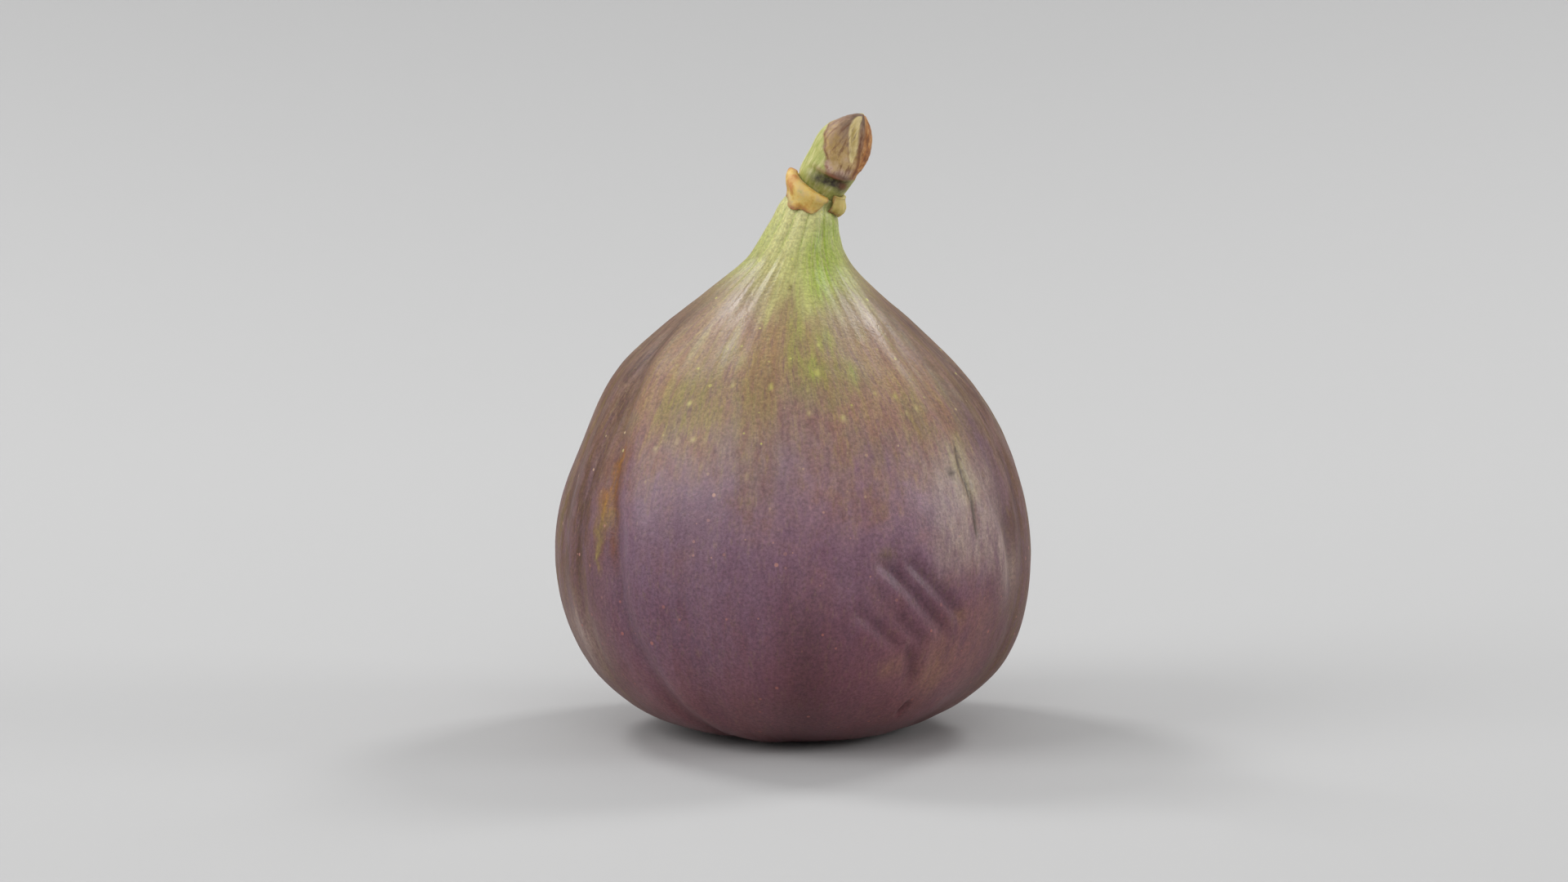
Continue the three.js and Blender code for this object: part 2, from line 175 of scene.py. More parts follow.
fruitShape = {
    "outline": [  # radius, height: the floor of the eye, the flat base, the belly, the shoulder and the neck
        (0, 1.75), (2.3, 1.5), (3.2, -0.12), (6.2, -0.12), (9.2, 0.2), (13.4, 1.05), (18.2, 3.4), (22.4, 7.5),
        (25.05, 13), (26, 19.4), (25.15, 26.4), (22.6, 33.4), (18.8, 39.4), (13.8, 44.3), (9.2, 48.1), (5.6, 51.5),
        (3.95, 54.8), (3.3, 57), (2.55, 58.7), (2.42, 59.6),
    ],
    "spacing": 0.42,  # between rows
    "columns": 430,
    "frontPull": 0.36,  # share by which the columns crowd to the front
    # Valleys from the neck to the eye: path of (azimuth, height), width, depth, side of the swell, its lift
    "valleys": [
        ([(-31, 0), (-38, 5), (-44.5, 15.5), (-47, 24), (-52.5, 31.5), (-58, 38.8),
          (-67, 44), (-78, 50)], 1.3, 0.5, 1, 0.3),
        ([(-60, 9), (-62.5, 26), (-60.5, 32), (-62, 38), (-76, 46)], 1.2, 0.26, -1, 0.1),
        ([(-70, 12), (-73, 26), (-75, 38), (-86, 48)], 1.5, 0.22, 1, 0.1),
        ([(-24, 3), (-27, 12), (-26, 30)], 2.8, 0.2, 1, 0),
        ([(3, 7), (3, 14), (2, 26)], 2.6, 0.24, 1, 0),
        ([(64, 17), (62, 23), (54, 31.5), (50, 36), (50.5, 42.4), (54, 46), (61, 50)], 1.2, 0.4, -1, 0.25),
        ([(64, 22), (61.5, 28.5), (57, 36), (60, 44), (70, 50)], 1.1, 0.3, 1, 0.12),
        ([(69, 8), (71, 20), (72, 36), (79, 48)], 1.5, 0.24, 1, 0.1),
        ([(92, 5), (89, 24), (86, 48)], 2.2, 0.24, 1, 0),
        ([(104, 1), (110, 14), (113, 26), (120, 50)], 1.5, 0.4, -1, 0.22),
        ([(140, 8), (137, 22), (133, 46)], 2.6, 0.26, 1, 0),
        ([(152, 1), (163, 16), (165, 30), (170, 50)], 1.4, 0.44, 1, 0.22),
        ([(-165, 6), (-171, 21), (-175, 47)], 2.4, 0.26, 1, 0),
        ([(-139, 1), (-147, 14), (-148, 28), (-142, 50)], 1.4, 0.4, -1, 0.2),
        ([(-115, 6), (-119, 20), (-123, 46)], 2.4, 0.26, 1, 0),
        ([(-94, 5), (-95, 24), (-99, 49)], 1.8, 0.26, 1, 0.1),
    ],
    # Short creases low on the right: path, width, depth, side of the swell (1 above, -1 below), its lift
    "creases": [
        ([(26, 22.6), (28, 21.6), (32, 19.8), (36.5, 18), (42.5, 15.5), (46, 14)], 0.8, 0.48, -1, 0.07),
        ([(18, 22.6), (20.5, 21.7), (25.5, 19.7), (30.5, 17.5), (35, 15.5), (39.5, 13.7),
          (42, 12.6)], 0.82, 0.54, -1, 0.1),
        ([(12, 17.8), (16, 16.2), (20, 14.7), (24.5, 13.1), (28, 11.6)], 0.7, 0.36, -1, 0.16),
        ([(17, 20), (22, 17.6), (28, 14.6)], 1.2, 0.2, -1, 0),
        ([(24, 16.2), (26.5, 15.1), (32, 12.9), (34, 12)], 0.75, 0.34, -1, 0.05),
        ([(28.5, 13), (29.6, 11.4), (31.5, 9.6), (33, 7)], 0.9, 0.42, 1, 0.16),
        ([(34.2, 4.1), (35.4, 4.9), (36.4, 5.8)], 0.5, 0.45, 1, 0.1),
    ],
    "dents": [((60, 3.2), 3.2, 0.35), ((-86, 31.5), 4.5, 0.45), ((86, 8.5), 6, -0.5)],
    "ribs": {"count": 9, "height": 0.24, "from": 44, "full": 53, "end": 59},
    "slit": [(49.5, 22.2), (49, 24.6), (49, 26.8), (48.3, 28.9), (47.4, 30.6), (48, 32), (49, 33.6)],
    "rustLine": [(-47, 20), (-50, 27), (-53, 33)],
    "speckScale": 0.65,
    "orangeScar": [(-52.5, 19.2), (-53.5, 22), (-52.5, 25.5), (-53, 27), (-52.4, 29.4), (-51.4, 31.6)],
    # Larger lenticels: azimuth, height, radius, 1 for pale or -1 for dark
    "specks": [
        (-32, 37.6, 0.42, 1), (-18, 39.4, 0.34, 0.8), (-5.5, 39.1, 0.32, 1), (5, 36.5, 0.36, 0.8),
        (14.5, 36.1, 0.42, 1), (27.5, 38.5, 0.24, 0.9), (40, 36.8, 0.34, 0.9), (34.5, 38.2, 0.3, 0.7),
        (-11.5, 30.4, 0.34, 0.7), (-24, 31.5, 0.26, 0.7), (-28, 34, 0.4, 0.8), (-33, 33.8, 0.4, 0.6),
        (-39.5, 32.8, 0.34, 0.8), (36, 36.5, 0.24, 0.7), (22, 31.9, 0.3, 0.5), (32, 32.6, 0.3, 0.7),
        (9.5, 40.4, 0.45, 0.9), (-1.5, 49, 0.28, -1), (27, 26.5, 0.22, 0.5), (3.5, 22.6, 0.2, 0.8),
        (-6, 14, 0.2, 0.5), (-14, 12, 0.2, -0.6), (12, 43.2, 0.3, 0.7),
    ],
}


def skinForm(azimuth, radius, height):
    # How far the skin stands out of the plain turned form
    form = between(height, 0.5, 50, 9) * (
        0.28 * np.cos(3 * azimuth) + 0.22 * np.cos(5 * azimuth) + 0.1 * np.cos(7 * azimuth))
    for path, width, depth, side, lift in fruitShape["valleys"]:
        off = beside(azimuth, radius, height, path)
        shape = lift * bell(off - side * 2.2 * width, 1.6 * width) - depth * bell(off, width)
        wander = (0.8 + 0.2 * np.sin(0.33 * height + path[0][0])) * (1 - 0.4 * smooth(height, 40, 47))
        form += shape * wander * between(height, path[0][1] - 4, path[-1][1], 7) * smooth(radius, 4, 10)
    for path, width, depth, side, lift in fruitShape["creases"]:
        off, share = creasePlace(azimuth, height, path)
        shape = lift * bell(off - side * 1.9 * width, 1.2 * width) - depth * bell(off, width)
        form += shape * between(share, 0, 1, 0.3)
    for (atAzimuth, atHeight), width, depth in fruitShape["dents"]:
        off = np.hypot(radius * wrapped(azimuth - math.radians(atAzimuth)), height - atHeight)
        form -= depth * bell(off, width)
    ribs = fruitShape["ribs"]
    inNeck = smooth(height, ribs["from"], ribs["full"]) * (1 - smooth(height, ribs["end"] - 3, ribs["end"]))
    return form + ribs["height"] * (ribProfile(azimuth) - 0.6) * inNeck


def ribProfile(azimuth):
    # 1 on the crest of a rib and 0 between two; the swing makes their widths uneven
    swing = 0.16 * np.sin(azimuth + 1.1) + 0.1 * np.sin(2 * azimuth + 0.4)
    return np.abs(np.cos(fruitShape["ribs"]["count"] * (azimuth / 2 + swing)))


def creasePlace(azimuth, height, path):
    # On the unrolled belly: the distance beside a crease (above it is plus) and the share of its length passed
    x, y = bellyRadius * azimuth, height
    corners = [(bellyRadius * math.radians(at), up) for at, up in path]
    nearest, off, share = np.full(x.shape, 1e9), 0 * x, 0 * x
    for i, ((x0, y0), (x1, y1)) in enumerate(zip(corners, corners[1:])):
        runX, runY = x1 - x0, y1 - y0
        reach = np.clip(((x - x0) * runX + (y - y0) * runY) / (runX ** 2 + runY ** 2), 0, 1)
        distance = np.hypot(x - x0 - reach * runX, y - y0 - reach * runY)
        closer = distance < nearest
        nearest = np.where(closer, distance, nearest)
        off = np.where(closer, distance * np.sign(runX * (y - y0) - runY * (x - x0)), off)
        share = np.where(closer, (i + reach) / (len(corners) - 1), share)
    return off, share


def makeFruit(material):
    outline = splinePoints(fruitShape["outline"], fruitShape["spacing"])
    outline[0, 0] = 0
    outline = np.vstack([outline, [0, outline[-1, 1]]])
    piece = meshFrom(spun(outline, fruitShape["columns"]), "fruit_skin", material)
    mesh = piece.data
    spots, normals = readVerts(mesh)
    radius, height = np.hypot(spots[:, 0], spots[:, 1]), spots[:, 2]
    turn = np.arctan2(spots[:, 0], -spots[:, 1])
    azimuth = turn - fruitShape["frontPull"] * np.sin(turn)
    outward = normals[:, 0] * np.sin(turn) - normals[:, 1] * np.cos(turn)
    outward[radius < 0.01] = 0
    upward = np.where(radius < 0.01, 0, normals[:, 2])

    around = np.stack([bellyRadius * np.sin(azimuth), -bellyRadius * np.cos(azimuth), height], axis=1)
    relief = skinForm(azimuth, radius, height) + fineRelief(around, azimuth, radius, height)
    relief *= np.where(height > outline[-1, 1] - 0.01, 0, 1)  # the end of the neck stays plain
    outward, upward = outward * relief, upward * relief
    x = (radius + outward) * np.sin(azimuth) + axisOffset(height)
    y = -(radius + outward) * np.cos(azimuth)
    x, y, z = lean(x, y, height + upward)
    z = np.maximum(z, 0)  # the base is pressed flat
    writeVerts(mesh, np.stack([x, y, z], axis=1) * mm)
    paint(mesh, "around", *around.T)
    paintSkin(mesh, azimuth, radius, height)
    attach(piece, "root")
    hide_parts("fruit")


def fineRelief(around, azimuth, radius, height):
    # Pleats that run into the neck, crinkles across the shoulder, and the slit on the right
    onTop = (0.3 * smooth(height, 30, 44) + 0.7 * smooth(height, 46, 53)) * (1 - smooth(height, 57, 59))
    pleats = noiseAt(around * [1, 1, 0.05], 2.6) + 0.6 * noiseAt(around * [1, 1, 0.07], 1.3, 7.0)
    relief = 0.1 * onTop * np.minimum(radius / 8, 1) * pleats
    relief += 0.05 * noiseAt(around * [1, 1, 0.2], 3.2, 3.0) * between(height, 3, 46, 6)
    shoulder = between(height, 36, 52, 6)
    relief += 0.022 * shoulder * noiseAt(around * [0.35, 0.35, 1.6], 1.3, 11.0)
    relief += 0.03 * noiseAt(around, 1.6, 5.0) * smooth(radius, 4, 9)
    slitOff = beside(azimuth, radius, height, fruitShape["slit"])
    relief -= 0.22 * bell(slitOff, 0.35) * between(height, 22.4, 33.8, 2)
    return relief


# Spots of colour on the skin, and of painted highlight on the shoulder: azimuth, height, half width and half height in
# mm on the belly, strength
skinSpots = {
    "olive": [(-31, 39.5, 4.5, 3.2, 1), (-37, 36, 3.2, 2.6, 0.9), (-9, 38, 2.4, 3.6, 0.8), (2, 44, 1.6, 3.5, 0.6),
              (16, 41, 5, 2.2, 0.9), (-22, 36, 4, 4, 0.5)],
    "green": [(3, 43, 1.8, 4, 0.5), (9, 40.6, 1.3, 1.4, 0.8), (23, 40.6, 1.8, 1.4, 0.5), (16, 43.8, 2.5, 1.2, 0.5),
              (30, 52.5, 11, 4, 1.2), (64, 56, 14, 4, 0.9), (20, 49, 5, 2.5, 0.5), (-70, 53, 10, 4, 0.5)],
    # pale: the spots at -31 and 33 high on the shoulder are a painted highlight, the others the skin's own pale
    # patches
    "pale": [(63, 19, 3, 3.2, 0.8), (-67, 11.5, 4.5, 4.5, 1), (-31, 47.5, 5, 2.5, 0.5), (33, 46, 5, 2.2, 0.5),
             (-5, 33, 5, 5, 0.35)],
    "dark": [(-67, 26, 4, 6, 0.3)],
    "scar": [(22.3, 22.5, 0.9, 0.6, 0.6)],
    "slit": [(44, 30.2, 0.6, 0.4, 1)],
    "turning": [(12, 47, 8, 6, 2.2)],
    "gloss": [(-31, 47.5, 6, 3, 0.8), (44, 45.5, 6, 3, 0.7), (-40, 28, 4, 6, 0.2), (-47, 44, 4, 3, -0.5)],
    "cool": [(-5, 32, 4, 4, 1)],
    "wine": [(12, 8, 9, 6, 1), (46, 15, 5, 5, 0.8)],
    "tan": [(40, 9.5, 2.6, 3.6, 1), (25, 10.2, 1.6, 1.2, 0.8), (43.5, 15, 1.2, 0.9, 0.8), (53, 13, 3, 5, 0.6)],
}


def spot(azimuth, height, atAzimuth, atHeight, width, tall):
    off = bellyRadius * wrapped(azimuth - math.radians(atAzimuth)) / width
    return np.exp(-off ** 2 - ((height - atHeight) / tall) ** 2)


def spotSum(azimuth, height, name):
    return sum(strength * spot(azimuth, height, *place) for *place, strength in skinSpots[name])


def beside(azimuth, radius, height, path):
    # Distance in mm from a line up the skin, plus to the right of it
    return radius * wrapped(azimuth - pathAzimuth(path, height))


def paintSkin(mesh, azimuth, radius, height):
    # Where the skin's own colours lie, and a painted highlight on the shoulder; the material breaks their edges up
    at = np.degrees(azimuth)
    olive = spotSum(azimuth, height, "olive")
    green = spotSum(azimuth, height, "green")
    green += 0.4 * (1 - smooth(ribProfile(azimuth), 0.05, 0.35)) * smooth(height, 50, 54)
    pale = smooth(at, 32, 39) * (1 - smooth(at, 56, 66)) * between(height, 17.5, 34, 5)  # dried, beside the slit
    # Two of these spots, high on the shoulder, are a painted highlight
    pale += spotSum(azimuth, height, "pale")
    paint(mesh, "patches", np.clip(olive, 0, 1), np.clip(green, 0, 1), np.clip(pale, 0, 1))

    # The orange scar on the left with its rusty sides, and the slit on the right with its pale margin
    scarOff = beside(azimuth, radius, height, fruitShape["orangeScar"])
    scarOff += 0.25 * np.sin(1.9 * height) + 0.15 * np.sin(4.3 * height)
    scarWide = np.interp(height, [19, 22, 25, 28, 30, 33], [0.2, 0.4, 1.25, 1.0, 0.55, 0.35])
    scar = bell(scarOff, scarWide) * between(height, 18.4, 33.6, 3) + spotSum(azimuth, height, "scar")
    rust = bell(scarOff - 0.3, 1.7) * between(height, 18, 36, 6)
    rust += 0.8 * bell(beside(azimuth, radius, height, fruitShape["rustLine"]), 0.5) * between(height, 18, 33, 4)
    slitOff = beside(azimuth, radius, height, fruitShape["slit"])
    slit = bell(slitOff, 0.2) * between(height, 22.4, 33.8, 1.6) + spotSum(azimuth, height, "slit")
    margin = bell(slitOff, 1.5) * between(height, 26, 35, 2.5)
    paint(mesh, "marks", np.clip(scar, 0, 1), np.clip(slit, 0, 1), np.clip(margin, 0, 1))

    # Painted shade: darker in the creases, in the valleys and on both flanks
    dark = 0.2 * rust + spotSum(azimuth, height, "dark")
    dark += 0.5 * bell(radius * wrapped(azimuth - math.radians(3)), 3) * (1 - smooth(height, 12, 20))
    for path, width, depth, *_ in fruitShape["creases"]:
        off, share = creasePlace(azimuth, height, path)
        dark += 1.1 * depth * bell(off - 0.15, 1.1 * width) * between(share, 0, 1, 0.3)
    valley = 0 * height
    for path, width, depth, *_ in fruitShape["valleys"]:
        off = beside(azimuth, radius, height, path)
        valley += depth * 1.6 * bell(off, 0.8 * width) * between(height, path[0][1] - 4, path[-1][1], 7)
    # The flanks: painted shade, together with their own browner colour
    flank = (1 - smooth(at, -64, -45) + smooth(at, 49, 70)) * (1 - smooth(height, 45, 51))
    flank *= (1 - 0.35 * smooth(np.abs(at), 80, 125)) * (0.3 + 0.7 * smooth(height, 0, 9))
    paint(mesh, "paintedShades", np.clip(dark, 0, 1), np.clip(valley, 0, 1), np.clip(flank, 0, 1))

    pores, freckles = 0 * height, 0 * height
    for atAzimuth, atHeight, size, tone in fruitShape["specks"]:
        size *= fruitShape["speckScale"]
        wide = size * bellyRadius / np.maximum(radius, 3)  # round dots where the fig is narrow, too
        pores += max(tone, 0) * spot(azimuth, height, atAzimuth, atHeight, wide, size)
        freckles += max(-tone, 0) * spot(azimuth, height, atAzimuth, atHeight, wide, size)
    scarTone = smooth(height, 23, 29)  # orange above, olive below
    paint(mesh, "pores", np.clip(pores, 0, 1), np.clip(freckles, 0, 1), scarTone)

    # Millimetres by which the skin is riper or greener than its height says, and how waxy (1) or dull (-1) it is
    turning = spotSum(azimuth, height, "turning") - 1.7 * smooth(-at, 25, 55) - 2 * smooth(at, 48, 75)
    turning *= smooth(height, 36, 44)
    gloss = spotSum(azimuth, height, "gloss") - 0.9 * np.clip(flank, 0, 1) - 0.4 * between(height, 36, 52, 4)
    paint(mesh, "surface", turning, np.clip(gloss, -1, 1), np.clip(rust, 0, 1))
    cool = smooth(-at, -4, 18) * (1 - smooth(-at, 48, 60)) * between(height, 4, 36, 9)
    cool += spotSum(azimuth, height, "cool")
    wine, tan = spotSum(azimuth, height, "wine"), spotSum(azimuth, height, "tan")
    paint(mesh, "tones", np.clip(cool, 0, 1), np.clip(wine, 0, 1), np.clip(tan, 0, 1))


skinColors = {
    # share of the 60 mm from the eye to the joint: wine red, purple, mauve, brown, green
    "ripening": [
        (0.0, "75494e"), (1.0, "cfcb90"), (0.07, "784d53"), (0.15, "764c56"), (0.25, "6f4a58"), (0.36, "785868"),
        (0.46, "86666f"), (0.54, "8a6b65"), (0.61, "927060"), (0.68, "93735a"), (0.75, "8e7055"), (0.79, "937e5c"),
        (0.825, "a09863"), (0.87, "b6b376"),
    ],
    "flank": [(0.36, "4c3027"), (0.66, "664e2c"), (0.45, "56382b"), (0.55, "5f402f")],
    "lenticels": [(0.2, "a3645c"), (0.9, "c6c86a"), (0.42, "b5877c"), (0.55, "bfa982"), (0.64, "b9b45c")],
    "red": "7c4f4c", "ochre": "8b8450", "brown": "8a5d43", "yellow": "958748", "mauve": "7b535c",
    # pale is also the tint of the painted highlight on the shoulder
    "cool": "664f60", "wine": "6b3f49", "tan": "8a6450", "olive": "80743f", "green": "90a23e", "pale": "97827a",
    "margin": "a59a78", "rust": "74432b", "scarLow": "857040", "scarHigh": "9a6524",
    "oliveFleck": "94804f", "mauveFleck": "5f4152", "freckle": "5a4526", "slit": "4b3a2c",
}


def skinMaterial():
    # Thin waxy fruit skin over pale flesh: a soft broad gloss, pigment in streaks from the neck to the eye, painted
    # shade in the creases, valleys and flanks, and a painted highlight on the shoulder
    material = bpy.data.materials.new("WaxyFigSkin")
    material.use_nodes = True
    tree = material.node_tree
    shader = tree.nodes["Principled BSDF"]

    around = addNode(tree, "Attribute", attribute_name="around").outputs["Vector"]
    patches, marks, paintedShades, pores, surface, tones = [
        addNode(tree, "SeparateXYZ", {0: addNode(tree, "Attribute", attribute_name=name).outputs["Vector"]}).outputs
        for name in ("patches", "marks", "paintedShades", "pores", "surface", "tones")]
    height = addNode(tree, "SeparateXYZ", {0: around}).outputs["Z"]

    # Streaks 2 to 3 mm wide that run up the fruit, finer ones 1 mm wide, blotches of 5 mm and a grain of 0.3 mm
    longWay = addNode(tree, "Mapping", {"Vector": around, "Scale": (1, 1, 0.1)}).outputs[0]
    streaks = addNode(tree, "TexNoise", {"Vector": longWay, "Scale": 0.33, "Detail": 4.0, "Roughness": 0.6}).outputs[0]
    shortWay = addNode(tree, "Mapping", {"Vector": around, "Scale": (1, 1, 0.3)}).outputs[0]
    fine = addNode(tree, "TexNoise", {"Vector": shortWay, "Scale": 0.95, "Detail": 4.0, "Roughness": 0.7}).outputs[0]
    blotches = addNode(tree, "TexNoise", {"Vector": around, "Scale": 0.2, "Detail": 6.0, "Roughness": 0.66}).outputs[0]
    place = addNode(tree, "TexCoord").outputs["Object"]
    grain = addNode(tree, "TexNoise", {"Vector": place, "Scale": 3000.0, "Detail": 2.0, "Roughness": 0.7}).outputs[0]
    crossWay = addNode(tree, "Mapping", {"Vector": around, "Scale": (0.3, 0.3, 1)}).outputs[0]
    crinkle = addNode(tree, "TexNoise", {"Vector": crossWay, "Scale": 1.9, "Detail": 3.0, "Roughness": 0.6}).outputs[0]

    # The ripening runs from green at the neck over olive and brown to purple; streaks and blotches shift it
    swayed = addNode(tree, "MapRange", {0: streaks, 1: 0.3, 2: 0.7, 3: -4.0, 4: 4.0}, clamp=False).outputs[0]
    patchy = addNode(tree, "MapRange", {0: blotches, 1: 0.3, 2: 0.7, 3: -4.5, 4: 4.5}, clamp=False).outputs[0]
    shifts = addNode(tree, "Math", {0: swayed, 1: patchy}, operation="ADD").outputs[0]
    inNeck = addNode(tree, "MapRange", {0: height, 1: 41.0, 2: 48.0, 3: 1.0, 4: 0.35}).outputs[0]
    shifts = addNode(tree, "Math", {0: shifts, 1: inNeck}, operation="MULTIPLY").outputs[0]
    shifts = addNode(tree, "Math", {0: shifts, 1: surface["X"]}, operation="ADD").outputs[0]
    shifted = addNode(tree, "Math", {0: height, 1: shifts}, operation="ADD").outputs[0]
    ripeness = addNode(tree, "MapRange", {0: shifted, 1: 0.0, 2: 60.0}).outputs[0]
    color = addNode(tree, "ValToRGB", {0: ripeness}, stops=skinColors["ripening"]).outputs[0]

    red = addNode(tree, "MapRange", {0: blotches, 1: 0.5, 2: 0.66, 3: 0.0, 4: 0.4}).outputs[0]
    onBelly = addNode(tree, "MapRange", {0: height, 1: 46.0, 2: 34.0}).outputs[0]
    red = addNode(tree, "Math", {0: red, 1: onBelly}, operation="MULTIPLY").outputs[0]
    color = addNode(tree, "Mix", {0: red, 6: color, 7: hexColor(skinColors["red"])}, data_type="RGBA").outputs[2]
    ochre = addNode(tree, "MapRange", {0: blotches, 1: 0.5, 2: 0.36, 3: 0.0, 4: 0.55}).outputs[0]
    brown = addNode(tree, "MapRange", {0: streaks, 1: 0.52, 2: 0.66, 3: 0.0, 4: 0.5}).outputs[0]
    onShoulder = addNode(tree, "ValToRGB", {0: ripeness}, stops=[
        (0.46, 0), (0.86, 0), (0.58, 1), (0.72, 1)]).outputs[0]
    yellowed = addNode(tree, "MapRange", {0: fine, 1: 0.5, 2: 0.64, 3: 0.0, 4: 0.34}).outputs[0]
    mauve = addNode(tree, "MapRange", {0: fine, 1: 0.5, 2: 0.36, 3: 0.0, 4: 0.3}).outputs[0]
    for mask, tint in ((ochre, "ochre"), (brown, "brown"), (yellowed, "yellow"), (mauve, "mauve")):
        mask = addNode(tree, "Math", {0: mask, 1: onShoulder}, operation="MULTIPLY").outputs[0]
        color = addNode(tree, "Mix", {0: mask, 6: color, 7: hexColor(skinColors[tint])}, data_type="RGBA").outputs[2]
    # The flanks' streaked brown is partly their own colour and partly painted shade
    flankColor = addNode(tree, "ValToRGB", {0: streaks}, stops=skinColors["flank"]).outputs[0]
    scarLow, scarHigh = hexColor(skinColors["scarLow"]), hexColor(skinColors["scarHigh"])
    scarColor = addNode(tree, "Mix", {0: pores["Z"], 6: scarLow, 7: scarHigh}, data_type="RGBA").outputs[2]
    for mask, tint, share in (
        (tones["X"], "cool", 0.5), (tones["Y"], "wine", 0.6), (tones["Z"], "tan", 0.7),
        (paintedShades["Z"], flankColor, 0.95), (patches["X"], "olive", 0.75), (patches["Y"], "green", 0.9),
        (patches["Z"], "pale", 0.75), (marks["Z"], "margin", 0.7), (surface["Z"], "rust", 0.75),
        (marks["X"], scarColor, 1.1),
    ):
        tint = hexColor(skinColors[tint]) if isinstance(tint, str) else tint
        ragged = addNode(tree, "MapRange", {0: fine, 1: 0.36, 2: 0.6, 3: 0.35, 4: 1.15}).outputs[0]
        ragged = addNode(tree, "Math", {0: ragged, 1: mask}, operation="MULTIPLY").outputs[0]
        ragged = addNode(tree, "Math", {0: ragged, 1: share}, operation="MULTIPLY", use_clamp=True).outputs[0]
        color = addNode(tree, "Mix", {0: ragged, 6: color, 7: tint}, data_type="RGBA").outputs[2]

    flecks = addNode(tree, "TexNoise", {"Vector": shortWay, "Scale": 2.2, "Detail": 5.0, "Roughness": 0.75}).outputs[0]
    freely = addNode(tree, "ValToRGB", {0: ripeness}, stops=[
        (0.0, 0.25), (0.85, 0), (0.45, 0.45), (0.6, 1), (0.72, 1)]).outputs[0]
    for low, high, tint in ((0.53, 0.68, "oliveFleck"), (0.47, 0.34, "mauveFleck")):
        mask = addNode(tree, "MapRange", {0: flecks, 1: low, 2: high, 3: 0.0, 4: 0.45}).outputs[0]
        mask = addNode(tree, "Math", {0: mask, 1: freely}, operation="MULTIPLY").outputs[0]
        color = addNode(tree, "Mix", {0: mask, 6: color, 7: hexColor(skinColors[tint])}, data_type="RGBA").outputs[2]

    # Soft vertical lights and darks, and the skin's cells as a grain
    streaky = addNode(tree, "MapRange", {0: fine, 1: 0.3, 2: 0.7, 3: 0.88, 4: 1.12}).outputs[0]
    grainy = addNode(tree, "MapRange", {0: grain, 1: 0.3, 2: 0.7, 3: 0.74, 4: 1.26}).outputs[0]
    shade = addNode(tree, "Math", {0: streaky, 1: grainy}, operation="MULTIPLY").outputs[0]
    # Painted shade: the valleys and the creases are made darker
    valleyShade = addNode(tree, "MapRange", {0: paintedShades["Y"], 1: 0.0, 2: 1.0, 3: 1.0, 4: 0.8}).outputs[0]
    darkShade = addNode(tree, "MapRange", {0: paintedShades["X"], 1: 0.0, 2: 1.0, 3: 1.0, 4: 0.52}).outputs[0]
    shade = addNode(tree, "Math", {0: shade, 1: valleyShade}, operation="MULTIPLY").outputs[0]
    shade = addNode(tree, "Math", {0: shade, 1: darkShade}, operation="MULTIPLY").outputs[0]
    color = addNode(tree, "VectorMath", {0: color, "Scale": shade}, operation="SCALE").outputs[0]

    # Lenticels: pale dots 0.2 to 0.7 mm across, yellow-green high up and orange low down
    cells = addNode(tree, "TexVoronoi", {"Vector": place, "Scale": 620.0})  # a cell each 1.6 mm
    chance = addNode(tree, "SeparateColor", {0: cells.outputs["Color"]}).outputs
    size = addNode(tree, "MapRange", {0: chance[1], 3: 0.07, 4: 0.15}).outputs[0]
    isDot = addNode(tree, "Math", {0: size, 1: cells.outputs["Distance"]}, operation="SUBTRACT").outputs[0]
    isDot = addNode(tree, "MapRange", {0: isDot, 1: 0.0, 2: 0.03}).outputs[0]
    chosen = addNode(tree, "MapRange", {0: chance[0], 1: 0.2, 2: 0.95, 3: 0.0, 4: 0.8}).outputs[0]
    dots = addNode(tree, "Math", {0: isDot, 1: chosen}, operation="MULTIPLY").outputs[0]
    dots = addNode(tree, "Math", {0: dots, 1: pores["X"]}, operation="MAXIMUM").outputs[0]
    dotColor = addNode(tree, "ValToRGB", {0: ripeness}, stops=skinColors["lenticels"]).outputs[0]
    color = addNode(tree, "Mix", {0: dots, 6: color, 7: dotColor}, data_type="RGBA").outputs[2]
    for mask, tint in ((pores["Y"], "freckle"), (marks["Y"], "slit")):
        color = addNode(tree, "Mix", {0: mask, 6: color, 7: hexColor(skinColors[tint])}, data_type="RGBA").outputs[2]
    tree.links.new(color, shader.inputs["Base Color"])

    rough = addNode(tree, "MapRange", {0: blotches, 1: 0.3, 2: 0.7, 3: 0.29, 4: 0.41}).outputs[0]
    waxed = addNode(tree, "MapRange", {0: surface["Y"], 1: -1.0, 2: 1.0, 3: 0.22, 4: -0.12}).outputs[0]
    rough = addNode(tree, "Math", {0: rough, 1: waxed}, operation="ADD").outputs[0]
    tree.links.new(rough, shader.inputs["Roughness"])
    shader.inputs["Specular IOR Level"].default_value = 0.4
    shader.inputs["IOR"].default_value = 1.45
    shader.inputs["Subsurface Weight"].default_value = 0.12
    shader.inputs["Subsurface Radius"].default_value = (1.0, 0.45, 0.3)
    shader.inputs["Subsurface Scale"].default_value = 0.0015
    across = addNode(tree, "MapRange", {0: height, 1: 34.0, 2: 46.0, 3: 0.0, 4: 0.7}).outputs[0]
    across = addNode(tree, "Math", {0: crinkle, 1: across}, operation="MULTIPLY").outputs[0]
    soft = addNode(tree, "Math", {0: grain, 1: 0.65}, operation="MULTIPLY").outputs[0]
    bumps = addNode(tree, "Math", {0: across, 1: soft}, operation="ADD").outputs[0]
    bump = addNode(tree, "Bump", {"Height": bumps, "Strength": 0.5, "Distance": 0.0001})
    tree.links.new(bump.outputs[0], shader.inputs["Normal"])
    return material


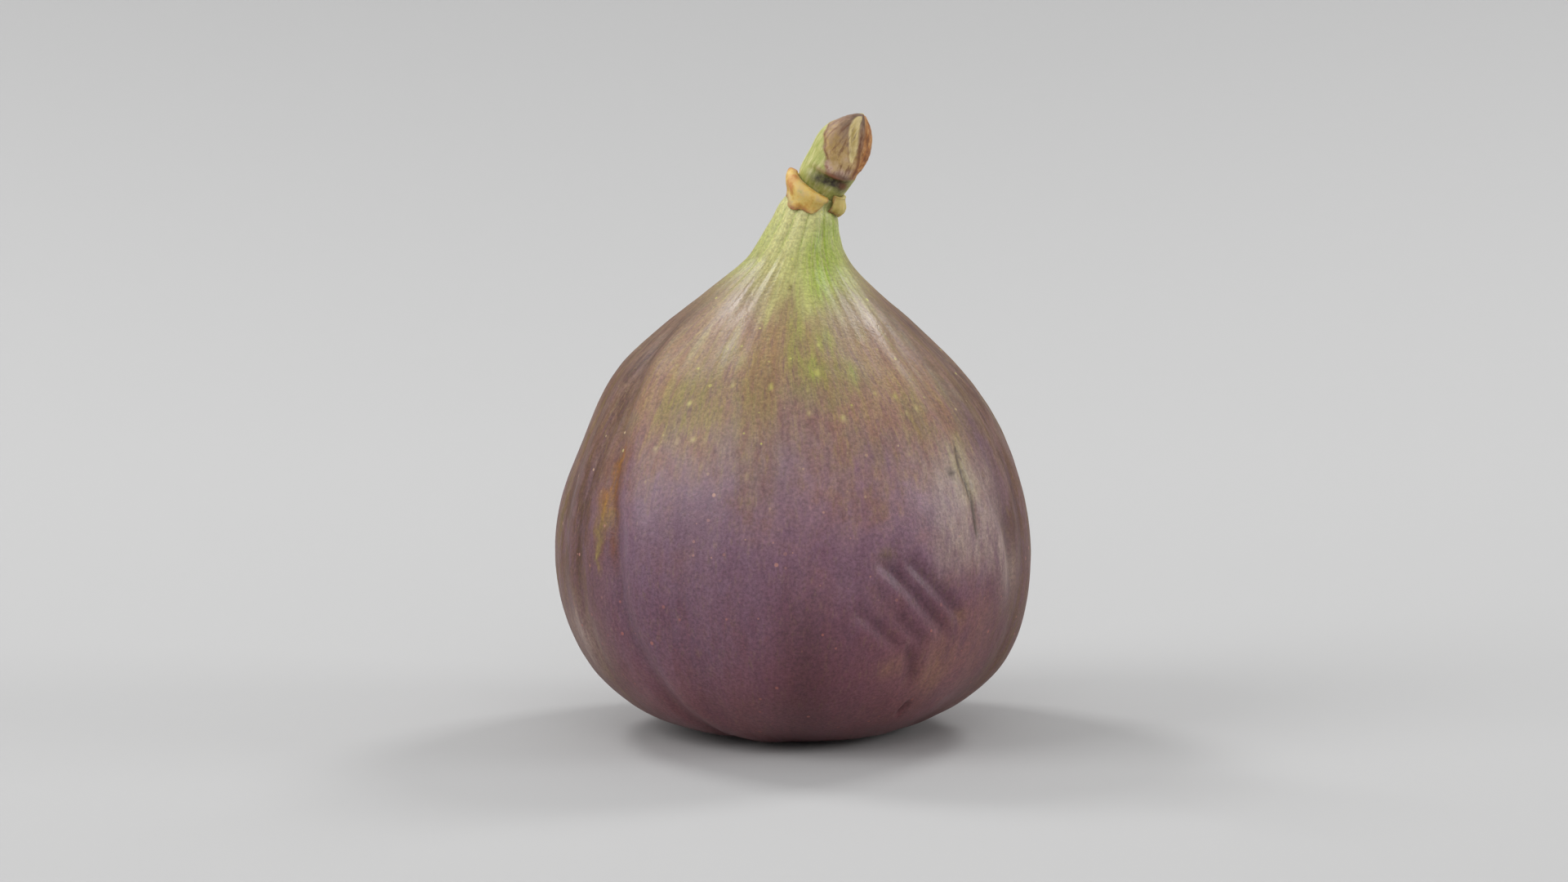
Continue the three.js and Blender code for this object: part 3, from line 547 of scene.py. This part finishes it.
stalkShape = {
    "outline": [  # radius, distance along the stalk
        (2.4, 0), (2.55, 0.5), (2.78, 1.1), (2.88, 1.9), (2.97, 3.6), (3.1, 4.9), (3.0, 6.0), (2.62, 7.2), (2.02, 8.3),
        (1.3, 9.1), (0.6, 9.6), (0, 9.75),
    ],
    "base": 59.9,
    "radius": 3,  # what its marks are laid out on
    "columns": 150,
    "spacing": 0.11,
    "cut": {"azimuth": 20, "tilt": 24, "depth": 2.35, "height": 4.6, "softness": 0.35},
    "lip": {"azimuth": 4, "spread": 34, "height": 2.8, "above": 0.7, "below": 0.24, "depth": 0.62},
    "pith": {"path": [(36, 5), (24, 7), (4, 8.4), (-8, 9.2)], "low": 4.8, "high": 9.4, "width": 0.4, "depth": 0.4},
    "darkLine": [(58, 3.6), (44, 6.6), (34, 8.8)],
}


def makeStalk(material):
    sizes, cut, lip, pith = stalkShape, stalkShape["cut"], stalkShape["lip"], stalkShape["pith"]
    outline = np.vstack([[0, 0], splinePoints(sizes["outline"], sizes["spacing"])])
    outline[-1, 0] = 0
    piece = meshFrom(spun(outline, sizes["columns"]), "stalk_rind", material)
    mesh = piece.data
    spots, normals = readVerts(mesh)
    along = spots[:, 2].copy()
    radius = np.hypot(spots[:, 0], spots[:, 1])
    azimuth = np.arctan2(spots[:, 0], -spots[:, 1])
    normals[radius < 0.01] = 0

    tilt, toward = math.radians(cut["tilt"]), math.radians(cut["azimuth"])
    face = np.array([math.sin(toward) * math.cos(tilt), -math.cos(toward) * math.cos(tilt), math.sin(tilt)])
    above = spots @ face - cut["depth"] - cut["height"] * face[2]
    pressed = cut["softness"] * np.log1p(np.exp(above / cut["softness"]))
    shaped = spots - np.outer(pressed * smooth(along, 1.2, 2.6), face)
    offLip = wrapped(azimuth - math.radians(lip["azimuth"])) / math.radians(lip["spread"])
    ragged = 0.12 * noiseAt(np.stack([azimuth * 3, 0 * along, 0 * along], axis=1), 0.8, 2.0)
    offEdge = along - lip["height"] - 0.2 * offLip + ragged
    ridge = lip["depth"] * np.where(offEdge > 0, bell(offEdge, lip["above"]), bell(offEdge, lip["below"]))
    ridge = (ridge - 0.35 * bell(offEdge + 0.6, 0.4)) * bell(offLip, 1)
    offPith = sizes["radius"] * wrapped(azimuth - pathAzimuth(pith["path"], along))
    groove = pith["depth"] * bell(offPith, pith["width"]) * between(along, pith["low"], pith["high"], 1.2)

    # The scar's left edge runs from the lip to the left side, and its tissue stands a little lower than the rind
    scarEdge = np.interp(along, [1.6, 2.8, 4.4, 6.4, 8.2], [-22, -8, -32, -76, -150]) + 3 * np.sin(5 * along)
    scarEdge = np.radians(scarEdge)
    inScar = smooth(azimuth, scarEdge - 0.05, scarEdge + 0.09) * smooth(offEdge, 0, 0.2)
    inScar *= 1 - smooth(azimuth, math.radians(88), math.radians(112)) * (1 - smooth(along, 7.5, 8.6))
    rough = noiseAt(spots * [1, 1, 0.35], 0.9) + 0.6 * noiseAt(spots, 0.45, 4.0)
    rind = noiseAt(spots * [1, 1, 0.12], 0.8, 9.0)
    relief = ridge - groove - 0.12 * inScar
    relief += (0.1 * inScar * rough + 0.05 * (1 - inScar) * rind) * smooth(along, 0.3, 1)
    shaped += normals * relief[:, None]
    x, y, z = shaped.T
    z = np.maximum(z, 0) + sizes["base"]
    z = np.where(along < 0.01, sizes["base"] - 0.3, z)  # down to the fruit
    writeVerts(mesh, np.stack(lean(x + axisOffset(z), y, z), axis=1) * mm)

    paint(mesh, "around", sizes["radius"] * np.sin(azimuth), -sizes["radius"] * np.cos(azimuth), along)
    pithWide = np.interp(along, [5, 6.2, 7, 8, 9.6], [0.2, 0.5, 0.7, 1.0, 1.5])
    pithMask = smooth(bell(offPith, pithWide) * between(along, 4.9, 9.9, 0.5), 0.25, 0.6)
    rim = smooth(azimuth, math.radians(38), math.radians(60)) * inScar
    # Painted shadow under the lip's overhang, mixed with the dark wound there, and two darker patches low on the rind
    shadowAndStain = 1.8 * bell(offEdge + 0.55 - 0.3 * offLip, 0.75) * bell(offLip - 0.35, 1.0)
    shadowAndStain += 0.8 * rindSpot(azimuth, along, 48, 1.8, 24, 0.9) + 0.5 * rindSpot(azimuth, along, -18, 1.2, 26, 1.0)
    lipMask = bell(offEdge - 0.1, 0.26) * bell(offLip, 1.1) + 0.8 * rindSpot(azimuth, along, 50, 2.2, 15, 0.45)
    darkLine = bell(sizes["radius"] * wrapped(azimuth - pathAzimuth(sizes["darkLine"], along)), 0.2)
    darkLine *= between(along, 3, 9, 0.8)
    darkLine += 0.9 * bell(sizes["radius"] * (azimuth - scarEdge - 0.1), 0.2) * between(along, 3.5, 8, 1)
    paint(mesh, "wounds", np.clip(inScar, 0, 1), np.clip(pithMask, 0, 1), np.clip(rim, 0, 1))
    paint(mesh, "shadowsAndStains", np.clip(shadowAndStain, 0, 1), np.clip(lipMask, 0, 1), np.clip(darkLine, 0, 1))
    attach(piece, "root")
    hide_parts("stalk")


def rindSpot(azimuth, along, atAzimuth, atAlong, spread, tall):
    off = np.degrees(wrapped(azimuth - math.radians(atAzimuth))) / spread
    return np.exp(-off ** 2 - ((along - atAlong) / tall) ** 2)


def stalkMaterial():
    # Green matte rind, dried brown where it was cut, with the pale pith sunk into the wound, and painted shadow under
    # the lip
    material = bpy.data.materials.new("GreenStalkRind")
    material.use_nodes = True
    tree = material.node_tree
    shader = tree.nodes["Principled BSDF"]
    around = addNode(tree, "Attribute", attribute_name="around").outputs["Vector"]
    wounds, shadowsAndStains = [
        addNode(tree, "SeparateXYZ", {0: addNode(tree, "Attribute", attribute_name=name).outputs["Vector"]}).outputs
        for name in ("wounds", "shadowsAndStains")]
    longWay = addNode(tree, "Mapping", {"Vector": around, "Scale": (1, 1, 0.3)}).outputs[0]
    fibres = addNode(tree, "TexNoise", {"Vector": longWay, "Scale": 1.8, "Detail": 4.0, "Roughness": 0.65}).outputs[0]
    mottle = addNode(tree, "TexNoise", {"Vector": around, "Scale": 0.9, "Detail": 5.0, "Roughness": 0.7}).outputs[0]
    rind = addNode(tree, "ValToRGB", {0: fibres}, stops=[(0.3, "8a9440"), (0.7, "cfc994"), (0.5, "b0b066")]).outputs[0]
    along = addNode(tree, "SeparateXYZ", {0: around}).outputs["Z"]
    dried = addNode(tree, "MapRange", {0: mottle, 1: 0.3, 2: 0.7, 3: -1.6, 4: 1.6}, clamp=False).outputs[0]
    dried = addNode(tree, "Math", {0: along, 1: dried}, operation="ADD").outputs[0]
    dried = addNode(tree, "MapRange", {0: dried, 1: 2.0, 2: 10.0}).outputs[0]
    scar = addNode(tree, "ValToRGB", {0: dried}, stops=[
        (0.0, "8f6450"), (1.0, "6d5645"), (0.14, "bd9f8a"), (0.3, "b99c70"), (0.45, "ac8d54"), (0.6, "a0825f"),
        (0.75, "8c7058")]).outputs[0]
    cracked = addNode(tree, "MapRange", {0: fibres, 1: 0.5, 2: 0.62, 3: 0.0, 4: 0.7}).outputs[0]
    color = addNode(tree, "Mix", {0: wounds["X"], 6: rind, 7: scar}, data_type="RGBA").outputs[2]
    rimColor = addNode(tree, "ValToRGB", {0: mottle}, stops=[
        (0.35, "7d4a26"), (0.65, "c9a06a"), (0.5, "ad7238")]).outputs[0]
    color = addNode(tree, "Mix", {0: wounds["Z"], 6: color, 7: rimColor}, data_type="RGBA").outputs[2]
    pithColor = addNode(tree, "ValToRGB", {0: fibres}, stops=[(0.3, "bfa865"), (0.7, "efdfae")]).outputs[0]
    color = addNode(tree, "Mix", {0: wounds["Y"], 6: color, 7: pithColor}, data_type="RGBA").outputs[2]
    cracked = addNode(tree, "Math", {0: cracked, 1: wounds["X"]}, operation="MULTIPLY").outputs[0]
    color = addNode(tree, "Mix", {0: cracked, 6: color, 7: hexColor("6f4429")}, data_type="RGBA").outputs[2]
    worn = addNode(tree, "MapRange", {0: mottle, 1: 0.35, 2: 0.6, 3: 0.6, 4: 1.0}).outputs[0]
    # The darkest tint is painted shadow under the lip mixed with the dark wound; then the lip's rusty rim and the dark
    # lines
    for mask, tint in ((shadowsAndStains["X"], "32261a"), (shadowsAndStains["Y"], "74401f"), (shadowsAndStains["Z"], "6a3719")):
        share = addNode(tree, "Math", {0: mask, 1: worn}, operation="MULTIPLY", use_clamp=True).outputs[0]
        color = addNode(tree, "Mix", {0: share, 6: color, 7: hexColor(tint)}, data_type="RGBA").outputs[2]
    tree.links.new(color, shader.inputs["Base Color"])
    shader.inputs["Roughness"].default_value = 0.58
    shader.inputs["Subsurface Weight"].default_value = 0.08
    shader.inputs["Subsurface Radius"].default_value = (1.0, 0.8, 0.3)
    shader.inputs["Subsurface Scale"].default_value = 0.001
    bump = addNode(tree, "Bump", {"Height": mottle, "Strength": 0.5, "Distance": 0.0002})
    tree.links.new(bump.outputs[0], shader.inputs["Normal"])
    return material


bractShape = {
    "joint": 59.9,
    "thickness": 0.5,
    "clearance": 0.1,
    # top is the height of the top edge above the joint, and rise what its left end has more. A scale with a low
    # above 1 swells further down, and one with a thinLeft of 0 is as thick at its left end as in the middle.
    "pieces": {
        "bract_front": {"azimuth": -34, "spread": 60, "top": 0.1, "rise": 0.7, "length": 3.0, "bulge": 0.8, "low": 0.6,
                        "teeth": 2.6, "taper": 0.6, "thinLeft": 0.0, "blush": 1.0, "green": 0.0},
        "bract_right": {"azimuth": 76, "spread": 36, "top": 0.75, "rise": 0, "length": 2.8, "bulge": 0.8, "low": 1.7,
                        "teeth": 1.4, "taper": 0.05, "thinLeft": 1.0, "blush": 0.0, "green": 0.5},
        "bract_back": {"azimuth": 192, "spread": 66, "top": 0.4, "rise": 0, "length": 3, "bulge": 0.4, "low": 0.7,
                       "teeth": 2.1, "taper": 0.6, "thinLeft": 1.0, "blush": 0.5, "green": 0.3},
    },
}


def makeBract(name, sizes, material):
    bm = bmesh.new()
    bmesh.ops.create_grid(bm, x_segments=72, y_segments=28, size=1)
    piece = meshFrom(bm, name + "_scale", material)
    mesh = piece.data
    spots, _ = readVerts(mesh)
    across, down = spots[:, 0], (1 - spots[:, 1]) / 2
    teeth = 0.07 * np.cos(sizes["teeth"] * math.pi * across + 0.6) + 0.05 * noiseAt(
        np.stack([across * 4, 0 * across + sizes["azimuth"], 0 * across], axis=1), 1.0)
    margin = (1 - sizes["taper"] * np.abs(across) ** 3) * (1 + teeth)
    ends = np.where(across < 0, sizes["thinLeft"], 1) * np.abs(across)
    along = bractShape["joint"] + sizes["top"] + sizes["rise"] * (1 - across) / 2 - down * sizes["length"] * margin
    body = bractShape["thickness"]
    crinkle = noiseAt(np.stack([across * 5, down * 2.2, 0 * across + sizes["azimuth"]], axis=1), 1.0)
    # The radius of the stalk and the neck below it, which carry the scale
    carried = 2.45 + 0.36 * smooth(along, 60.2, 61.2) + 0.95 * (1 - smooth(along, 56.6, 58.9))
    swell = sizes["bulge"] * np.sin(math.pi * down ** sizes["low"]) * (1 - 0.5 * ends ** 2)
    thinned = np.clip(1 - 0.6 * smooth(down, 0.3, 1) - 0.3 * smooth(ends, 0.6, 1), 0.25, 1)
    radius = carried + bractShape["clearance"] + swell + body * thinned + 0.1 * crinkle * down
    radius = np.where(down < 0.02, carried + 0.1, radius)  # its top edge grows out of the stalk
    azimuth = np.radians(sizes["azimuth"] + sizes["spread"] * across)
    x, y = radius * np.sin(azimuth) + axisOffset(along), -radius * np.cos(azimuth)
    writeVerts(mesh, np.stack(lean(x, y, along), axis=1) * mm)
    edge = np.maximum(smooth(down, 0.74, 1.0), smooth(np.abs(across), 0.88, 1.0))
    blush = between(-across, 0.05, 0.7, 0.3) * (1 - smooth(down, 0.3, 0.7)) + 0.4 * smooth(-across, 0.75, 1)
    paint(mesh, "place", np.clip(sizes["blush"] * blush, 0, 1), sizes["green"], edge)
    thick = piece.vertex_groups.new(name="thick")
    for i, share in enumerate(thinned):
        thick.add([i], float(share), "REPLACE")
    solid = piece.modifiers.new("wall", "SOLIDIFY")
    solid.thickness = body * mm
    solid.offset = -1
    solid.vertex_group = "thick"
    solid.thickness_vertex_group = 0
    rounded = piece.modifiers.new("rounded", "SUBSURF")
    rounded.levels = rounded.render_levels = 1
    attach(piece, "root")
    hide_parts(name)


def bractMaterial():
    # Dry papery scale: cream and yellow with an orange blush, brown where the edge has dried
    material = bpy.data.materials.new("DryBractScale")
    material.use_nodes = True
    tree = material.node_tree
    shader = tree.nodes["Principled BSDF"]
    place = addNode(tree, "Attribute", attribute_name="place").outputs["Vector"]
    parts = addNode(tree, "SeparateXYZ", {0: place}).outputs
    where = addNode(tree, "TexCoord").outputs["Object"]
    mottle = addNode(tree, "TexNoise", {"Vector": where, "Scale": 420.0, "Detail": 5.0, "Roughness": 0.65}).outputs[0]
    veins = addNode(tree, "TexNoise", {"Vector": where, "Scale": 1300.0, "Detail": 3.0}).outputs[0]
    color = addNode(tree, "ValToRGB", {0: mottle}, stops=[
        (0.3, "ab7634"), (0.7, "a8a358"), (0.42, "c29645"), (0.52, "d6b765"), (0.6, "c9ae74")]).outputs[0]
    blush = addNode(tree, "MapRange", {0: mottle, 1: 0.35, 2: 0.6, 3: 0.95, 4: 0.25}).outputs[0]
    blush = addNode(tree, "Math", {0: blush, 1: parts["X"]}, operation="MULTIPLY").outputs[0]
    color = addNode(tree, "Mix", {0: blush, 6: color, 7: hexColor("b8683a")}, data_type="RGBA").outputs[2]
    color = addNode(tree, "Mix", {0: parts["Y"], 6: color, 7: hexColor("a3a35f")}, data_type="RGBA").outputs[2]
    brown = addNode(tree, "MapRange", {0: veins, 1: 0.35, 2: 0.65, 3: 0.2, 4: 0.95}).outputs[0]
    brown = addNode(tree, "Math", {0: brown, 1: parts["Z"]}, operation="MULTIPLY").outputs[0]
    color = addNode(tree, "Mix", {0: brown, 6: color, 7: hexColor("855034")}, data_type="RGBA").outputs[2]
    tree.links.new(color, shader.inputs["Base Color"])
    shader.inputs["Roughness"].default_value = 0.6
    shader.inputs["Subsurface Weight"].default_value = 0.1
    shader.inputs["Subsurface Scale"].default_value = 0.001
    bump = addNode(tree, "Bump", {"Height": veins, "Strength": 0.4, "Distance": 0.00015})
    tree.links.new(bump.outputs[0], shader.inputs["Normal"])
    return material


eyeShape = {
    "disc": {"radius": 1.7, "taper": 0.85, "thickness": 0.45, "height": 0.95},
    # the scales on a ring: half width, half length and half thickness, and a ridge in the middle
    "count": 9, "ring": 1.0, "height": 0.68, "step": 0.12, "tilt": -14,
    "scale": (0.56, 0.95, 0.28), "ridge": 0.06, "slope": 0.12,
}


def makeEye(material):
    # Overlapping scales point to the middle of the eye, every other one lower.
    disc = eyeShape["disc"]
    bm = bmesh.new()
    made = bmesh.ops.create_cone(bm, cap_ends=True, segments=48, radius1=disc["radius"],
                                 radius2=disc["radius"] * disc["taper"], depth=disc["thickness"])["verts"]
    bmesh.ops.translate(bm, verts=made, vec=(0, 0, disc["height"]))
    for i in range(eyeShape["count"]):
        scale = bmesh.ops.create_uvsphere(bm, u_segments=20, v_segments=12, radius=1)["verts"]
        bmesh.ops.scale(bm, verts=scale, vec=eyeShape["scale"])
        for vert in scale:
            vert.co.z += eyeShape["ridge"] * math.cos(6 * vert.co.x) - eyeShape["slope"] * vert.co.y
        bmesh.ops.rotate(bm, verts=scale, matrix=turnAbout("X", eyeShape["tilt"]))
        height = eyeShape["height"] + eyeShape["step"] * (i % 2)
        bmesh.ops.translate(bm, verts=scale, vec=(0, -eyeShape["ring"], height))
        bmesh.ops.rotate(bm, verts=scale, matrix=turnAbout("Z", 360 / eyeShape["count"] * i))
    bmesh.ops.scale(bm, verts=bm.verts, vec=(mm, mm, mm))
    bmesh.ops.translate(bm, verts=bm.verts, vec=(originShift[0] * mm, originShift[1] * mm, 0))
    piece = meshFrom(bm, "eye_rosette", material)
    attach(piece, "root")
    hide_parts("eye_scales")


def turnAbout(axis, degrees):
    return Matrix.Rotation(math.radians(degrees), 3, axis)


def eyeMaterial():
    # Dry reddish scales, darker in the gaps
    material = bpy.data.materials.new("DryEyeScale")
    material.use_nodes = True
    tree = material.node_tree
    shader = tree.nodes["Principled BSDF"]
    where = addNode(tree, "TexCoord").outputs["Object"]
    mottle = addNode(tree, "TexNoise", {"Vector": where, "Scale": 900.0, "Detail": 4.0}).outputs[0]
    color = addNode(tree, "ValToRGB", {0: mottle}, stops=[(0.3, "5a2e26"), (0.7, "b08352")]).outputs[0]
    tree.links.new(color, shader.inputs["Base Color"])
    shader.inputs["Roughness"].default_value = 0.6
    return material


makeFruit(skinMaterial())
print("fruit done")
makeStalk(stalkMaterial())
print("stalk done")
bractScale = bractMaterial()
for name, sizes in bractShape["pieces"].items():
    makeBract(name, sizes, bractScale)
print("bracts done")
makeEye(eyeMaterial())
print("eye done")

studio = {
    "paper": "b6b6b6",
    "flat": 0.35,  # metres of flat floor round the fig before the paper curves up on all sides
    "curve": 1.4,
    "world": ("ffffff", 0.62),
    "aim": (0, 0, 0.035),
    # size in metres, power in watts, place in metres
    "lights": {
        "leftSoftbox": ((0.75, 0.75), 7.6, (-1.0, -0.45, 0.68)),
        "rightSoftbox": ((0.45, 0.45), 4.0, (1.05, -0.15, 0.34)),
        "topLeft": ((0.24, 0.24), 3.3, (-0.5, 0.46, 0.8)),
        "topRight": ((0.24, 0.24), 3.0, (0.5, 0.52, 0.76)),
        "front": ((1.2, 0.8), 4.6, (0.1, -1.3, 0.9)),
    },
    "camera": {"elevation": 6, "lens": 85, "distance": 0.4036, "look": 0.0333,
               "shift": (-11 / 1920, -18 / 1920)},  # shares of the picture's width
}


def makeStudio():
    flat, curve = studio["flat"], studio["curve"]
    rise = np.radians(np.linspace(0, 90, 31))
    outline = [(0, 0), (flat / 2, 0), *zip(flat + curve * np.sin(rise), curve * (1 - np.cos(rise)))]
    paper = bpy.data.materials.new("PalePaper")
    paper.use_nodes = True
    shader = paper.node_tree.nodes["Principled BSDF"]
    shader.inputs["Base Color"].default_value = hexColor(studio["paper"])
    shader.inputs["Roughness"].default_value = 0.9
    shader.inputs["Specular IOR Level"].default_value = 0.1
    meshFrom(spun(outline, 120), "paper_bowl", paper)

    for name, ((wide, tall), power, lampAt) in studio["lights"].items():
        light = bpy.data.lights.new(name, "AREA")
        light.shape, light.size, light.size_y, light.energy = "RECTANGLE", wide, tall, power
        lamp = bpy.data.objects.new(name, light)
        lamp.location = lampAt
        lamp.rotation_euler = (Vector(studio["aim"]) - Vector(lampAt)).to_track_quat("-Z", "Y").to_euler()
        bpy.context.collection.objects.link(lamp)

    world = bpy.data.worlds.new("studio")
    world.use_nodes = True
    world.node_tree.nodes["Background"].inputs[0].default_value = hexColor(studio["world"][0])
    world.node_tree.nodes["Background"].inputs[1].default_value = studio["world"][1]
    bpy.context.scene.world = world

    sizes = studio["camera"]
    lens = bpy.data.cameras.new("camera")
    lens.lens, lens.sensor_width = sizes["lens"], 36
    lens.shift_x, lens.shift_y = sizes["shift"]
    lens.clip_start = 0.01
    camera = bpy.data.objects.new("camera", lens)
    rise = math.radians(sizes["elevation"])
    camera.location = (0, -sizes["distance"] * math.cos(rise), sizes["look"] + sizes["distance"] * math.sin(rise))
    camera.rotation_euler = (math.pi / 2 - rise, 0, 0)
    bpy.context.collection.objects.link(camera)
    bpy.context.scene.camera = camera


makeStudio()
bpy.context.scene.view_settings.view_transform = "Standard"
print("studio done")
